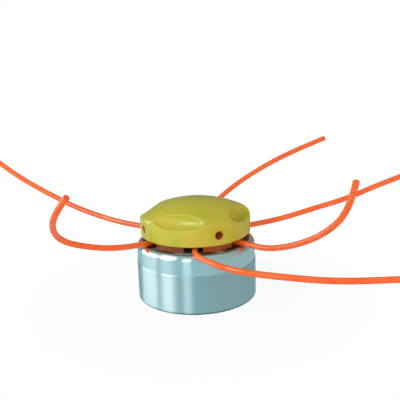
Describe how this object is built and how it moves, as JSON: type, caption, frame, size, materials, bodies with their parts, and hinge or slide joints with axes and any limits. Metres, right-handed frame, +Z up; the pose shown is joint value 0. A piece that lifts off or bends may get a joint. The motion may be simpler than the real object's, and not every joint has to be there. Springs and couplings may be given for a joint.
{
  "type": "fixed line trimmer head",
  "caption": "Round aluminium trimmer head with nylon strands folded round pins and clamped by a moulded hand knob with finger scoops.",
  "frame": {"origin": "centre of the body's bottom rim, on the head's axis", "axes": "+Z up along the head's axis from the gearbox side to the knob; -Y faces the viewer of the picture"},
  "size_m": [0.2982, 0.1714, 0.0884],
  "materials": {
    "body_metal": "turned",
    "steel": "zinc plated",
    "spring_steel": "dark phosphated",
    "plate_steel": "zinc plated",
    "strand": "extruded nylon",
    "washer_plastic": "natural",
    "brass": "turned",
    "knob_plastic": "moulded satin"
  },
  "bodies": {
    "head": {"body": "body_metal", "arbor": "steel", "arbor_ring": "spring_steel", "line_post_1": "steel", "line_post_2": "steel", "line_post_3": "steel", "line_strand_1": "strand", "line_strand_2": "strand", "line_strand_3": "strand"},
    "clamp": {"clamp_plate": "plate_steel"},
    "knob": {"knob": "knob_plastic", "knob_insert": "brass", "thrust_washer": "washer_plastic", "plate_ring": "spring_steel"}
  },
  "joints": [
    {"name": "knob_rise", "type": "slide", "parent": "head", "child": "clamp", "axis": [0, 0, 1], "range_m": [0, 0.005]},
    {"name": "knob_turn", "type": "hinge", "parent": "clamp", "child": "knob", "pos_m": [0, 0, 0.05], "axis": [0, 0, -1], "range_deg": [0, 1440]}
  ],
  "couplings": [
    {"joint": "knob_rise", "follows": "knob_turn", "m_per_rad": 0.00019894}
  ]
}
